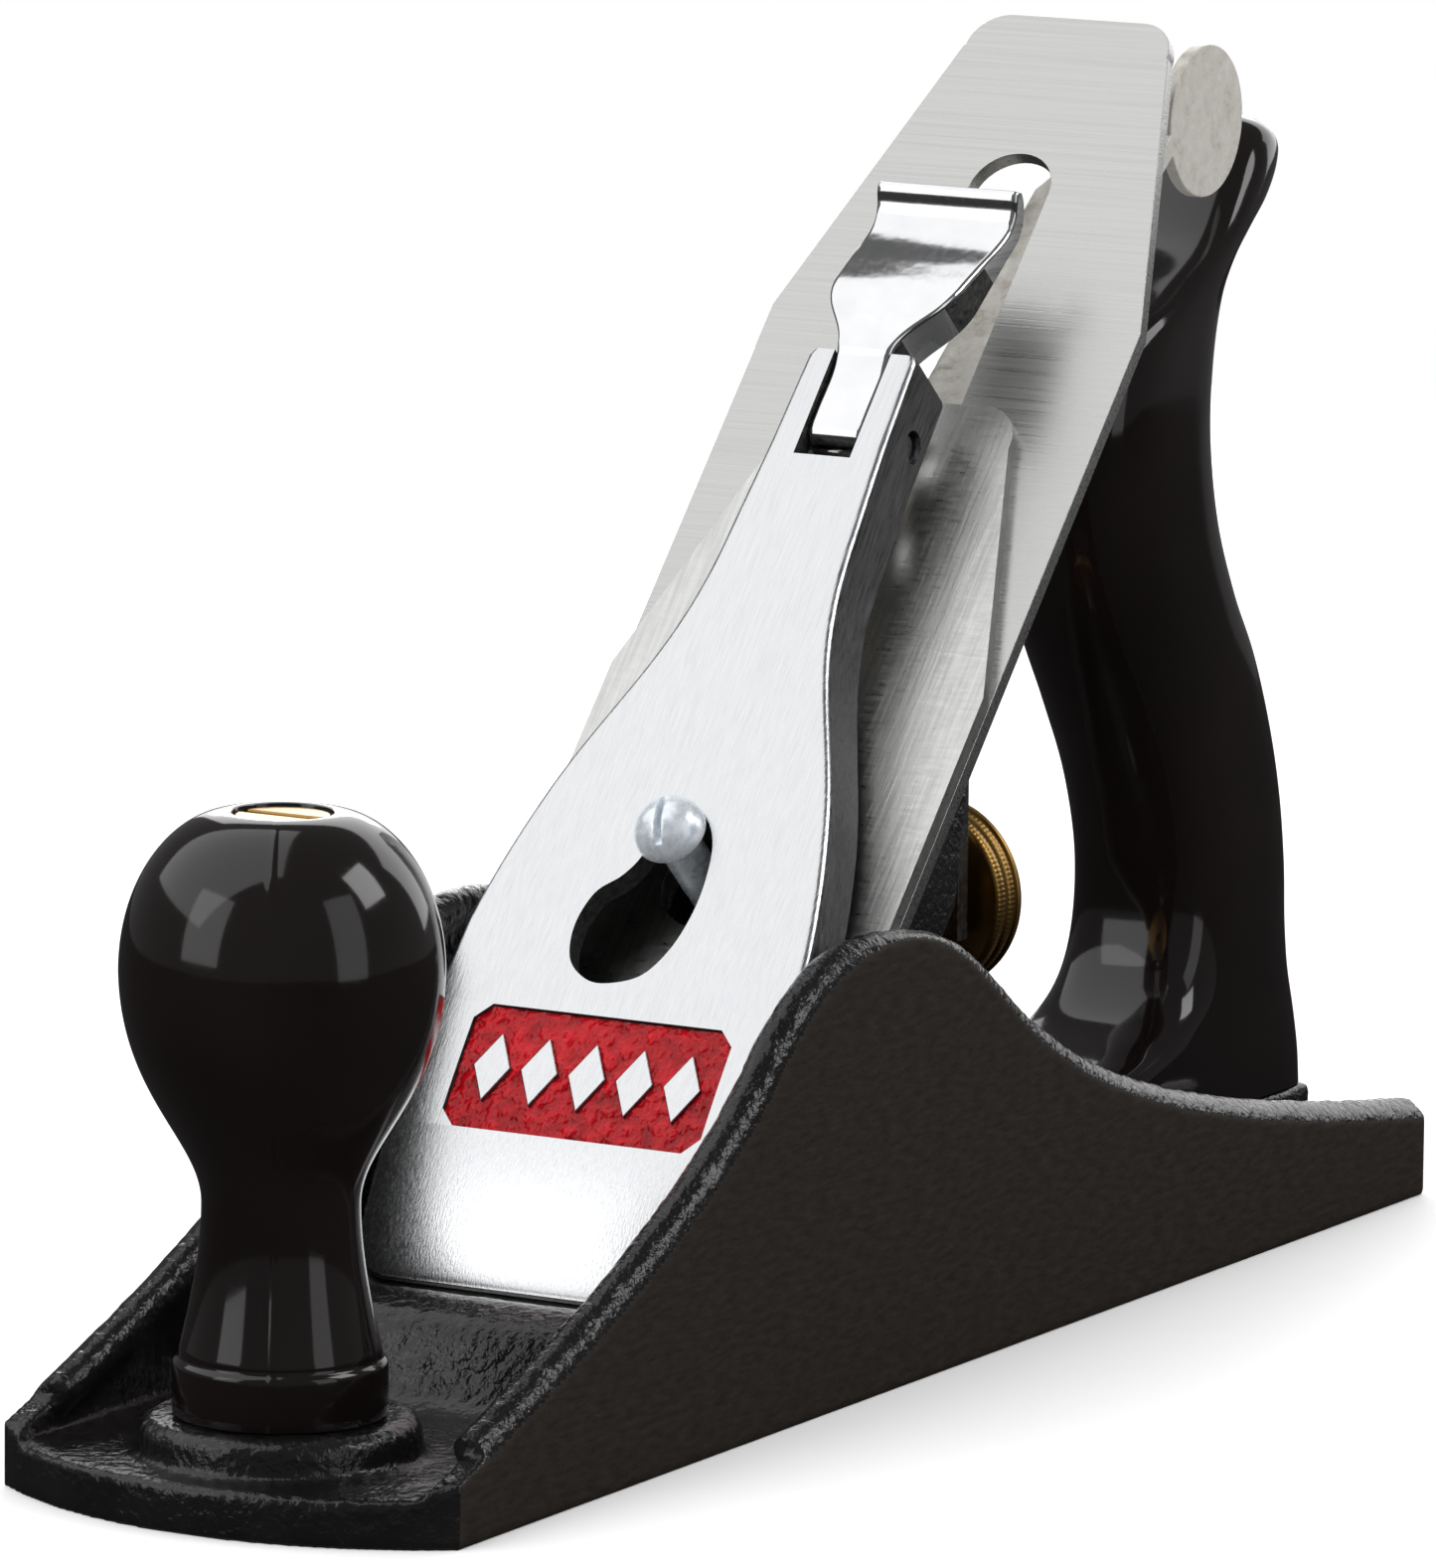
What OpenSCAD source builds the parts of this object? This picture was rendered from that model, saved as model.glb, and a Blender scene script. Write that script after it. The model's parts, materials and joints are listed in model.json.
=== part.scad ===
// Bench hand plane: iron sole, sliding frog, geared depth and lateral adjusters,
// lever cap with a cam, front knob and rear tote. +Z is up, the toe points to -Y,
// and the origin is the middle of the sole's underside. Pieces are laid out from a
// line a little ahead of it, and in_row() moves them into place.

/* [Sole] */
// Length of the sole from toe to heel
sole_l = 251; // [249:1:256]
// Width of the sole
sole_w = 60; // [59.6:0.1:62]
// Thickness of the sole plate between the decks
sole_t = 4; // [3.6:0.1:4]
// Thickness of the toe and heel decks
deck_t = 5.5; // [5:0.1:6]
// Thickness of a cheek
cheek_t = 3.5; // [3.3:0.1:3.6]
// Height of the cheeks at their highest point
cheek_h = 53.6; // [50:0.1:56]
// How far the toe bows forward
toe_bow = 10; // [6:0.5:11]
// How far the heel bows back
heel_bow = 6; // [4:0.5:6.5]

/* [Irons] */
// Angle of the bed above the sole
pitch = 48; // [48:0.5:48.5]
// Width of the cutting iron
iron_w = 50.8; // [50:0.1:51]
// Length of the cutting iron from edge to top
iron_l = 202.8; // [190:0.1:204]
// Thickness of the cutting iron
iron_t = 2; // [1.8:0.1:2]
// Length of the cap iron
cap_iron_l = 141.6; // [138:0.1:144]

/* [Handles] */
// Distance of the knob's axis from the middle of the sole
knob_y = 102; // [100:0.5:103.5]
// Height of the knob above its boss
knob_h = 68; // [62:0.5:70]
// Radius of the knob's ball
knob_r = 18.2; // [17:0.1:19]
// Thickness of the tote
tote_w = 23; // [20:0.5:24]

/* [Lever cap] */
// Half width of the lever cap at its lower edge
cap_hw = 24.4; // [23:0.1:24.6]
// Half width of the lever cap at its upper end
cap_top_hw = 7.4; // [7:0.1:8.5]
// Radius of the domed head of the lever cap screw
cap_screw_r = 4.4; // [4.3:0.1:4.6]

/* [Hidden] */
$fn = 64;
cut = 0.01;
run_gap = 0.05;
contact_gap = 0.015;
layout_y = 3;
toe_y = layout_y - sole_l / 2;
heel_y = layout_y + sole_l / 2;
inner_hw = sole_w / 2 - cheek_t;
bed_y = -52;
mouth_front = -57.2;
mouth_back = -46.4;
mouth_hw = 26;
seat_z = 9;
rib_z = 16.4;
boss_z = 10;
boss_r = 16;
pad_z = 12;
edge_u = -1.6;
iron_top_u = edge_u + iron_l;
cap_iron_u = 0.4;
blade_slot_hw = 5.5;
screw_u = 70.9;
iron_screw_u = 46;
yoke_u = 90;
yoke_h = -11;
roller_u = 101.5;
lever_u = 113.5;
frog_top_u = 121;
web_t = 9;
frog_hw = 24.4;
rib_in = 6;
rib_out = 10.5;
stud_z = 47;
groove_y = 39.3;
nut_r = 12;
adjust_z = 15.5;
clip_screw_z = 26;
frog_screw_x = 12.5;
frog_screw_y = -24;
frog_travel = 1.5;
cam_u = 130.3;
cam_h = 11.5;
cam_slot_u = 124.2;
panel_u = 38.7;
panel_h = 12.7;
panel_tilt = 6.3;
panel_depth = 0.85;
spring_u = 103;
frog_back_y = -4;
knob_well = 5.5;
fork_t = 2.4;
// Axis of the yoke
yoke_y = bed_y + yoke_u * cos(pitch) - yoke_h * sin(pitch);
yoke_z = yoke_u * sin(pitch) + yoke_h * cos(pitch);
tote_rod_foot = [115, 5];
tote_rod_top = [85, 110];
thumb_u = 201.3;
thumb_h = -17.9;
thumb_r = 9.5;
thumb_x = 10.2;

// ---------------------------------------------------------------- helpers

// Point of a cubic curve through four control points
function bez(p, t) = pow(1 - t, 3) * p[0] + 3 * t * pow(1 - t, 2) * p[1]
                   + 3 * t * t * (1 - t) * p[2] + pow(t, 3) * p[3];
// The curve as points, without its last one
function curve(p, steps = 8) = [for (i = [0:steps - 1]) bez(p, i / steps)];
// Outline on one side of a middle line, completed by its mirror image
function both(p) = concat(p, [for (i = [len(p) - 1:-1:0]) [-p[i][0], p[i][1]]]);

// From the layout line to the middle of the sole
module in_row() translate([0, -layout_y, 0]) children();

// Bed frame: x across, y up along the bed, z out of its face
module on_bed() translate([0, bed_y, 0]) rotate([pitch, 0, 0]) children();

// Side outline given as [y, z] or [u, h], thickened across X
module across(hw) rotate([90, 0, 90]) translate([0, 0, -hw]) linear_extrude(2 * hw) children();

// Side outline between two distances from the middle, on both sides
module pair_across(inner, outer) for (side = [-1, 1])
    translate([side * (inner + outer) / 2, 0, 0]) across((outer - inner) / 2) children();

module x_rod(r, hw) rotate([0, 90, 0]) cylinder(r = r, h = 2 * hw, center = true);
module y_rod(r, from, to) translate([0, from, 0]) rotate([-90, 0, 0]) cylinder(r = r, h = to - from);

// Round slot that runs along Y
module long_hole(r, half_run, h) {
    for (end = [-1, 1]) translate([0, end * half_run, 0]) cylinder(r = r, h = h);
    translate([-r, -half_run, 0]) cube([2 * r, 2 * half_run, h]);
}

// Slotted cheese head, standing on z = 0
module slotted_head(r, h, slot) difference() {
    cylinder(r = r, h = h);
    translate([-r - cut, -slot / 2, h * 0.55]) cube([2 * r + 2 * cut, slot, h]);
}

// ---------------------------------------------------------------- sole

module sole_outline() {
    toe_r = (toe_bow * toe_bow + sole_w * sole_w / 4) / (2 * toe_bow);
    heel_r = (heel_bow * heel_bow + sole_w * sole_w / 4) / (2 * heel_bow);
    intersection() {
        translate([-sole_w / 2, toe_y]) square([sole_w, sole_l]);
        union() {
            translate([0, toe_y + toe_r]) circle(r = toe_r, $fn = 180);
            translate([-sole_w, toe_y + toe_r]) square([2 * sole_w, sole_l]);
        }
        union() {
            translate([0, heel_y - heel_r]) circle(r = heel_r, $fn = 360);
            translate([-sole_w, toe_y]) square([2 * sole_w, sole_l / 2]);
        }
    }
}

// Height of the cheeks from toe to heel
function cheek_line() = concat(
    [[toe_y, 5]],
    curve([[toe_y + 9, 7], [-92, 14], [-58, 27], [-43, cheek_h - 12.3]]),
    curve([[-43, cheek_h - 12.3], [-34, cheek_h - 3.6], [-26, cheek_h], [-14, cheek_h]]),
    curve([[-14, cheek_h], [2, cheek_h], [11, cheek_h - 13.5], [25, cheek_h - 19.8]]),
    curve([[25, cheek_h - 19.8], [44, 23], [84, 14.6], [heel_y, 9.4]]),
    [[heel_y, 9.4]]);

module cheeks() intersection() {
    linear_extrude(cheek_h + 2) difference() {
        sole_outline();
        translate([-inner_hw, toe_y - 1]) square([2 * inner_hw, sole_l + 2]);
    }
    across(sole_w / 2 + 1) polygon(concat([[toe_y, 0]], cheek_line(), [[heel_y, 0]]));
}

module knob_boss() {
    cylinder(r = boss_r, h = boss_z - 2);
    translate([0, 0, boss_z - 2]) rotate_extrude() polygon(concat([[0, 0], [boss_r, 0]],
        [for (a = [15:15:75]) [boss_r - 2 + 2 * cos(a), 2 * sin(a)]], [[boss_r - 2, 2], [0, 2]]));
}

module sole_casting() color("#27272a") in_row() difference() {
    union() {
        linear_extrude(sole_t) sole_outline();
        linear_extrude(deck_t) intersection() {
            sole_outline();
            translate([-sole_w, toe_y]) square([2 * sole_w, 42]);
        }
        linear_extrude(deck_t) intersection() {
            sole_outline();
            translate([-sole_w, 60]) square([2 * sole_w, 70]);
        }
        cheeks();
        // Rib in front of the mouth
        across(inner_hw + 1) polygon(concat([[-80, 3], [-80, deck_t]],
            curve([[-77, deck_t], [-71.5, 6.5], [-73, rib_z - 0.6], [-66, rib_z]], 6),
            curve([[-65, rib_z], [-60, rib_z], [mouth_front, rib_z - 1], [mouth_front, 9]], 6),
            [[mouth_front, 3]]));
        // Seat of the frog, with its front land behind the mouth
        translate([-18, -36.4, 0]) cube([36, 32.4, seat_z]);
        // Lug of the frog's adjusting screw
        translate([-7, 10, 0]) cube([14, 6, adjust_z + 6]);
        // Boss of the knob
        translate([0, -knob_y, 0]) knob_boss();
        // Pad of the tote
        translate([-tote_w / 2, 70, 0]) cube([tote_w, 57, pad_z]);
    }
    // Mouth
    translate([-mouth_hw, mouth_front, -1]) cube([2 * mouth_hw, mouth_back - mouth_front, 20]);
    translate([0, -knob_y, 1.5]) cylinder(r = 3 + run_gap, h = 20);
    for (side = [-1, 1]) translate([side * frog_screw_x, frog_screw_y, 1.5])
        cylinder(r = 2.4 + run_gap, h = 20);
    translate([0, 0, adjust_z]) y_rod(2.5 + run_gap, 8, 18);
    tote_rod(3 + run_gap, -1.5, 20);
}

// Rod along the tote's sloping bolt, measured from the foot of the bolt
module tote_rod(r, from, to) {
    run = tote_rod_top - tote_rod_foot;
    lean = atan2(-run[0], run[1]);
    translate([0, tote_rod_foot[0], tote_rod_foot[1]]) rotate([lean, 0, 0])
        translate([0, 0, from]) cylinder(r = r, h = to - from);
}
tote_rod_l = norm(tote_rod_top - tote_rod_foot);

// ---------------------------------------------------------------- frog

module frog_side() {
    c = cos(pitch);
    s = sin(pitch);
    web_foot_y = bed_y + (seat_z + 6) / tan(pitch) + web_t / s;
    face_y = bed_y + contact_gap;
    polygon([[face_y + 4.3 / tan(pitch), 4.3], [-40, 4.3], [-38.5, 5], [-38.5, seat_z + run_gap],
             [frog_back_y, seat_z + run_gap], [frog_back_y, seat_z + 6], [web_foot_y, seat_z + 6],
             [bed_y + frog_top_u * c + web_t * s, frog_top_u * s - web_t * c],
             [face_y + frog_top_u * c, frog_top_u * s]]);
}

module frog_plan() polygon(both([[frog_hw, 0], [frog_hw, 80], [15, frog_top_u - 8],
    [12, frog_top_u]]));

module frog_rib_side() polygon([[-12, seat_z + 4], [frog_back_y, seat_z + 4], [6, 24], [14, 44],
    [23, 58], [32, 78], [20, 76], [-8, 40]]);

module frog() color("#1d1d1f") in_row() difference() {
    union() {
        intersection() {
            across(frog_hw) frog_side();
            on_bed() translate([0, 0, -70]) linear_extrude(72) frog_plan();
        }
        // Two ribs behind the web
        pair_across(rib_in, rib_out) frog_rib_side();
        translate([0, 0, stud_z]) y_rod(7, -2, 27);
    }
    // Clearance for the head of the cap iron screw
    on_bed() translate([0, iron_screw_u, -5.5]) long_hole(9, 5, 10);
    // Slot of the yoke through the web
    on_bed() translate([-6, yoke_u - 8, -24]) cube([12, 15.5, 30]);
    on_bed() translate([0, screw_u, -30]) cylinder(r = 2.6 + run_gap, h = 40);
    // Recess and pivot hole of the lateral lever
    on_bed() translate([0, lever_u, -1.8]) cylinder(r = 9.5, h = 5);
    on_bed() translate([-9.5, lever_u, -1.8]) cube([19, 12, 5]);
    on_bed() translate([-8, roller_u - 7, -1.8]) cube([16, 14, 5]);
    on_bed() translate([0, lever_u, -20]) cylinder(r = 1.8 + run_gap, h = 30);
    // Slots and counterbores of the two frog screws
    for (side = [-1, 1]) translate([side * frog_screw_x, frog_screw_y, 0]) {
        long_hole(2.9, frog_travel + 0.3, 60);
        translate([0, 0, seat_z + 6]) long_hole(5.7, frog_travel + 0.3, 60);
    }
    translate([0, yoke_y, yoke_z]) x_rod(2 + contact_gap, 20);
    translate([0, 0, stud_z]) y_rod(3 + run_gap, 7, 30);
    translate([0, 0, clip_screw_z]) y_rod(1.5 + run_gap, -11, 2);
    translate([-7.2, -4, seat_z + 2.4]) cube([14.4, 20, 11.4]);
}

module frog_screws() color("silver") in_row() for (side = [-1, 1])
    translate([side * frog_screw_x, frog_screw_y, 0]) {
        translate([0, 0, 2]) cylinder(r = 2.4, h = seat_z + 5.1 + 1);
        translate([0, 0, seat_z + 7.1]) slotted_head(4.7, 3.2, 1);
    }

module frog_screw_washers() color("gainsboro") in_row() for (side = [-1, 1])
    translate([side * frog_screw_x, frog_screw_y, seat_z + 6.05]) difference() {
        cylinder(r = 5.3, h = 1);
        translate([0, 0, -1]) cylinder(r = 2.45, h = 3);
    }

module frog_adjusting_screw() color("#8d8f92") in_row() translate([0, 0, adjust_z]) difference() {
    union() {
        y_rod(3.4, -1.5, -0.3);
        y_rod(1.8, -0.3, 1.9);
        y_rod(3.4, 1.9, 3.1);
        y_rod(2.5, 3.1, 25);
        y_rod(4.8, 25, 29.5);
    }
    translate([-6, 27.6, -0.5]) cube([12, 3, 1]);
}

// Clip on the back of the frog whose fork holds the adjusting screw's collar
module frog_adjusting_clip() color("#8d8f92") in_row() difference() {
    union() {
        translate([-5.8, -3.9, seat_z + 2.6]) cube([11.6, 1.4, 17.6]);
        translate([-5.8, -3.9, seat_z + 12.2]) cube([11.6, 5.4, 1.4]);
        translate([-5.8, 0.1, seat_z + 2.6]) cube([11.6, 1.4, 11]);
    }
    translate([0, 0, adjust_z]) y_rod(2.1, -0.5, 3);
    translate([-2.1, -0.5, 0]) cube([4.2, 3, adjust_z]);
    translate([0, 0, adjust_z]) y_rod(4.2, -5, 0.1);
    translate([-4.2, -5, 0]) cube([8.4, 5.1, adjust_z]);
    translate([0, 0, clip_screw_z]) y_rod(1.55, -5, 0);
}

module frog_clip_screw() color("silver") in_row() translate([0, 0, clip_screw_z]) {
    y_rod(1.5, -10, -2.4);
    difference() {
        y_rod(2.9, -2.45, -0.6);
        translate([-4, -1.4, -0.4]) cube([8, 2, 0.8]);
    }
}

// ---------------------------------------------------------------- adjusters

module depth_stud() color("#9a9ca0") in_row() translate([0, 0, stud_z]) y_rod(3, 8, 60);

module depth_nut() color("#c9a24a") in_row() translate([0, 0, stud_z]) difference() {
    union() {
        y_rod(8.5, groove_y - 5.9, groove_y - 4.1);
        y_rod(4.9, groove_y - 4.1, groove_y + 3.4);
        y_rod(nut_r - 0.5, groove_y + 3.4, groove_y + 8.6);
        // Two knurled bands
        for (band = [groove_y + 3.7, groove_y + 6.3]) translate([0, band, 0]) rotate([-90, 0, 0])
            linear_extrude(2) polygon([for (i = [0:179])
                (nut_r - (i % 2 == 0 ? 0.15 : 0)) * [cos(i * 2), sin(i * 2)]]);
    }
    y_rod(3 + run_gap, 0, 80);
}

module yoke() color("#7c7e82") in_row() difference() {
    union() {
        translate([0, yoke_y, yoke_z]) x_rod(4.4, 5.4);
        // Finger that reaches through the irons
        on_bed() translate([-2.5, yoke_u - 2, yoke_h]) cube([5, 4, 14.9]);
        // Arm over the nut's collar
        across(5.4) polygon([[yoke_y - 1, yoke_z + 0.6], [yoke_y + 3, yoke_z + 1], [34, 61],
            [groove_y + fork_t / 2, 61], [groove_y + fork_t / 2, 66], [groove_y - 8, 66],
            [yoke_y + 1, yoke_z + 4.2]]);
        translate([-8.4, groove_y - fork_t / 2, 61]) cube([16.8, fork_t, 5]);
        for (side = [-1, 1]) translate([side * 6.85 - 1.55, groove_y - fork_t / 2, 43])
            cube([3.1, fork_t, 19]);
    }
    translate([0, yoke_y, yoke_z]) x_rod(2 + run_gap, 9);
}

module yoke_pin() color("silver") in_row() translate([0, yoke_y, yoke_z]) x_rod(2, 11);

// Lever behind the iron, flat on the frog, then bent back to a thumb piece at its top
module lateral_lever() color("#d6d3cc") in_row() on_bed() difference() {
    union() {
        intersection() {
            translate([0, 0, thumb_h - 5]) linear_extrude(-thumb_h + 5) lateral_plan();
            across(thumb_x) polygon([[roller_u - 5, -0.2], [124, -0.2], [140, -2.4], [200, -13.4],
                [199.6, -15], [139.6, -4], [124, -1.6], [roller_u - 5, -1.6]]);
        }
        translate([thumb_x - 1.6, 0, 0]) rotate([90, 0, 90]) linear_extrude(1.6) lateral_thumb();
    }
    translate([0, lever_u, -5]) cylinder(r = 1.8 + run_gap, h = 10);
    translate([0, roller_u, -5]) cylinder(r = 1.3 + run_gap, h = 10);
}

module lateral_plan() {
    translate([0, roller_u]) circle(r = 4.2);
    translate([0, lever_u]) circle(r = 7);
    polygon([[4.2, roller_u], [6.9, lever_u + 1], [4.6, 138], [4.6, 174], [thumb_x, 188],
        [thumb_x, 200], [3, 200], [-4.6, 184], [-4.6, 138], [-6.9, lever_u + 1], [-4.2, roller_u]]);
}

// Thumb piece as [u, h]
module lateral_thumb() {
    translate([thumb_u, thumb_h]) circle(r = thumb_r);
    polygon([[188, -12.4], [200, -14.5], [206, -14.5], [206, -12.2], [199, -12.2], [188, -10.6]]);
}

module lateral_lever_rivet() color("silver") in_row() on_bed() translate([0, lever_u, 0]) {
    translate([0, 0, -11]) cylinder(r = 1.8, h = 10.9);
    translate([0, 0, -12]) cylinder(r = 3, h = 1.4);
}

module lateral_roller() color("#b8b6b0") in_row() on_bed() translate([0, roller_u, 0.15]) difference() {
    cylinder(r = 4, h = 1.6);
    translate([0, 0, -1]) cylinder(r = 1.3 + run_gap, h = 5);
}

module roller_rivet() color("silver") in_row() on_bed() translate([0, roller_u, 0])
    translate([0, 0, -1.7]) cylinder(r = 1.3, h = 3.5);

// ---------------------------------------------------------------- irons

module blade_plan() difference() {
    corner = 5;
    shoulder_u = iron_top_u - 45.6;
    top_hw = 12.8;
    union() {
        polygon(both([[iron_w / 2, edge_u - 1], [iron_w / 2, shoulder_u],
                      [top_hw + 1.4, iron_top_u - corner], [top_hw - corner + 1, iron_top_u - corner]]));
        for (side = [-1, 1]) translate([side * (top_hw - corner + 1.2), iron_top_u - corner])
            circle(r = corner);
        translate([-top_hw + corner - 1.2, iron_top_u - corner - 5])
            square([2 * (top_hw - corner + 1.2), corner + 5]);
    }
    slot_top = 175;
    translate([0, slot_top]) circle(r = blade_slot_hw);
    translate([-blade_slot_hw, 28]) square([2 * blade_slot_hw, slot_top - 28]);
    translate([0, 28]) circle(r = 8);
}

module blade() color("#c4c4c2") in_row() on_bed() intersection() {
    linear_extrude(iron_t) blade_plan();
    across(iron_w) polygon([[edge_u, iron_t], [edge_u + 4.3, 0], [iron_top_u + 5, 0],
        [iron_top_u + 5, iron_t]]);
}

module cap_iron_plan() difference() {
    top = cap_iron_u + cap_iron_l;
    shoulder = 5;
    union() {
        polygon(both([[iron_w / 2, -2], [iron_w / 2, 101], [15.2, top - shoulder], [10, top - shoulder]]));
        for (side = [-1, 1]) translate([side * 10.4, top - shoulder]) circle(r = shoulder);
        translate([-10.4, top - 3 * shoulder]) square([20.8, 3 * shoulder]);
    }
    translate([0, screw_u + 1]) circle(r = 6.4);
    translate([-2.9, yoke_u - 2.35]) square([5.8, 4.7]);
    translate([0, iron_screw_u]) circle(r = 4.2 + run_gap);
}

module cap_iron() color("#b9b9b7") in_row() on_bed() intersection() {
    linear_extrude(12) cap_iron_plan();
    across(iron_w) polygon([[cap_iron_u, 2.02], [1.6, 3.3], [3.6, 4.6], [6, 5.4], [9.5, 5.8],
        [13.5, 5.5], [17.5, 4.7], [21.5, 4.1], [25, 4], [150, 4], [150, 2], [22, 2], [17, 2.7],
        [13, 3.4], [9.5, 3.7], [6, 3.3], [3, 2.4], [1.4, 2.02]]);
}

module cap_iron_screw() color("#a9aaac") in_row() on_bed() translate([0, iron_screw_u, 0]) {
    translate([0, 0, -0.5]) cylinder(r = 4.2, h = 4.5);
    translate([0, 0, -cut]) rotate([180, 0, 0]) slotted_head(7, 3.4, 1.6);
}

// ---------------------------------------------------------------- lever cap

// Half of the lever cap's outline as [x, u], from the lower edge up
function cap_half() = concat(
    [[cap_hw - 1, 12.4], [cap_hw, 14]],
    curve([[cap_hw, 30], [cap_hw + 0.4, 52], [22.8, 63], [19, 76]], 8),
    curve([[19, 76], [15, 89], [9.2, 96], [8.6, 114]], 8),
    [[cap_top_hw + 0.4, 126], [cap_top_hw, 138.2], [cap_top_hw - 0.8, 139.2]]);

// Top surface of the lever cap as [u, h], from the lower edge up
function cap_top() = concat(
    [[12.4, 7]],
    curve([[12.6, 7.6], [20, 10], [30, 12.1], [46, 13.5]], 6),
    curve([[46, 13.5], [70, 15.6], [105, 17.2], [139.4, 17.8]], 6));

module kidney() {
    translate([-2, 57]) circle(r = 6.3);
    translate([1.1, 70.1]) circle(r = 4.3);
    polygon([[-5, 62.5], [-3.1, 71], [5.2, 70.5], [6, 64], [3.9, 54.8]]);
}

// Plane of the panel, which slopes with the top of the lever cap
module on_panel(lift) translate([0, panel_u, panel_h]) rotate([panel_tilt, 0, 0])
    translate([0, 0, lift]) children();

module cap_panel(grow) {
    hw = 17.4 + grow;
    high = 7.9 + grow;
    notch = 2;
    polygon(both([[hw - notch, -high], [hw, notch - high], [hw, high - notch], [hw - notch, high]]));
}

// Row of plain raised lozenges on the panel
module lozenges(grow) for (x = [-12.8:6.4:12.8])
    polygon([[x - 2.5 - grow, 0], [x, -4.4 - grow], [x + 2.5 + grow, 0], [x, 4.4 + grow]]);

module lever_cap() color("#d9dbde") in_row() on_bed() difference() {
    intersection() {
        linear_extrude(30) polygon(both(cap_half()));
        across(30) polygon(concat(cap_top(), [[143.6, 9.2], [140, 8.2], [104, 8.2], [96, 6.6],
            [28, 6.6], [16, 6.3], [12.4, 6.3]]));
    }
    // Hollow under the plate, open below
    intersection() {
        translate([0, 0, -1]) linear_extrude(30) polygon(both([[cap_hw - 2.6, 26], [cap_hw - 2.6, 52],
            [20, 63], [16.4, 74], [11.6, 87], [6.2, 98], [5.2, 112], [4.6, 126], [3.9, 150]]));
        across(30) polygon([[26, 0], [26, 8.4], [46, 10.6], [80, 13], [cam_slot_u, 14.6],
            [cam_slot_u, 30], [150, 30], [150, 0]]);
    }
    translate([-3.9, cam_slot_u, 0]) cube([7.8, 20, 30]);
    linear_extrude(30) kidney();
    on_panel(-panel_depth) linear_extrude(8) difference() {
        cap_panel(0);
        lozenges(0);
    }
    translate([0, cam_u, cam_h]) x_rod(1.5 + run_gap, 12);
    translate([0, spring_u, 5]) cylinder(r = 1.5 + run_gap, h = 20);
}

// Enamelled floor of the panel
module lever_cap_enamel() color("#b3202a") in_row() on_bed() difference() {
    on_panel(-panel_depth) linear_extrude(0.4) difference() {
        cap_panel(-0.05);
        lozenges(0.05);
    }
    linear_extrude(30) kidney();
}

module lever_cap_spring() color("#cfc9b4") in_row() on_bed() difference() {
    across(4.4) polygon([[97, 13.5], [107, 13.9], [114, 12.6], [121, 8.8], [127, 5.5], [133, 5.2],
        [137, 6.2], [137, 5.5], [133, 4.5], [127, 4.8], [120.5, 8.1], [113.6, 11.9], [107, 13.1],
        [97, 12.7]]);
    translate([0, spring_u, 5]) cylinder(r = 1.5 + run_gap, h = 20);
}

module spring_rivet() color("silver") in_row() on_bed() translate([0, spring_u, 0]) {
    translate([0, 0, 12]) cylinder(r = 1.5, h = 4.4);
    translate([0, 0, 11.6]) cylinder(r = 2.6, h = 1);
}

module lever_cap_screw() color("#dfe1e4") in_row() on_bed() translate([0, screw_u, 0]) {
    translate([0, 0, -12]) cylinder(r = 2.6, h = 27.8);
    translate([0, 0, 15.6]) difference() {
        rotate_extrude() polygon(concat([[0, 0], [cap_screw_r - 0.4, 0], [cap_screw_r, 0.5]],
            [for (a = [15:15:75]) [cap_screw_r * cos(a), 0.5 + 4.1 * sin(a)]], [[0, 4.6]]));
        rotate([0, 0, 102]) translate([-6, -0.45, 3]) cube([12, 0.9, 4]);
    }
}

// Paddle of the cam lever as [x, u]
module paddle_plan() polygon(both(concat([[3.6, 126.5], [3.6, 138]],
    curve([[3.6, 138], [3.7, 143.5], [8, 144.5], [8.8, 150]], 6),
    [[9.3, 158], [9.6, 166]])));

module cam_lever() color("#dcdee1") in_row() on_bed() difference() {
    union() {
        intersection() {
            linear_extrude(30) paddle_plan();
            across(14) polygon([[126.9, 15.4], [128.2, 17], [131, 17.3], [137, 17.7], [141, 18.2],
                [148, 17.3], [154, 15.3],
                [159, 13.4], [162.6, 12.7], [165.6, 14], [166, 13], [163, 10.6], [158, 10.8],
                [150, 11.8], [141, 12.6], [136, 12], [132, 9], [128, 9]]);
        }
        translate([0, cam_u, cam_h]) x_rod(4.2, 3.6);
        translate([0, cam_u - 0.6, cam_h - 1.2]) x_rod(4.6, 3.6);
    }
    translate([0, cam_u, cam_h]) x_rod(1.5 + run_gap, 12);
}

module cam_pin() color("silver") in_row() on_bed() translate([0, cam_u, cam_h]) x_rod(1.5, cap_top_hw - 0.6);

// ---------------------------------------------------------------- handles

// Profile of the knob as [radius, height above the boss]
function knob_profile() = concat(
    [[11.7, 0], [12.1, 0.4], [12.1, 6.4], [11.6, 6.9]],
    curve([[11.6, 6.9], [9.7, 14], [8.9, 19], [8.9, 24]], 6),
    curve([[8.9, 24], [9, 31], [knob_r - 0.3, 36], [knob_r, knob_h - 18]], 10),
    curve([[knob_r, knob_h - 18], [knob_r, knob_h - 7], [11.7, knob_h], [5.6, knob_h]], 10),
    [[5.6, knob_h], [5.6, knob_h - knob_well], [3.3, knob_h - knob_well], [3.3, 0]]);

module knob() color("#101012") in_row() translate([0, -knob_y, boss_z])
    rotate_extrude($fn = 96) polygon(knob_profile());

module knob_bolt() color("#8d8f92") in_row() translate([0, -knob_y, 2])
    cylinder(r = 3, h = boss_z + knob_h - knob_well - 1);

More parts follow.
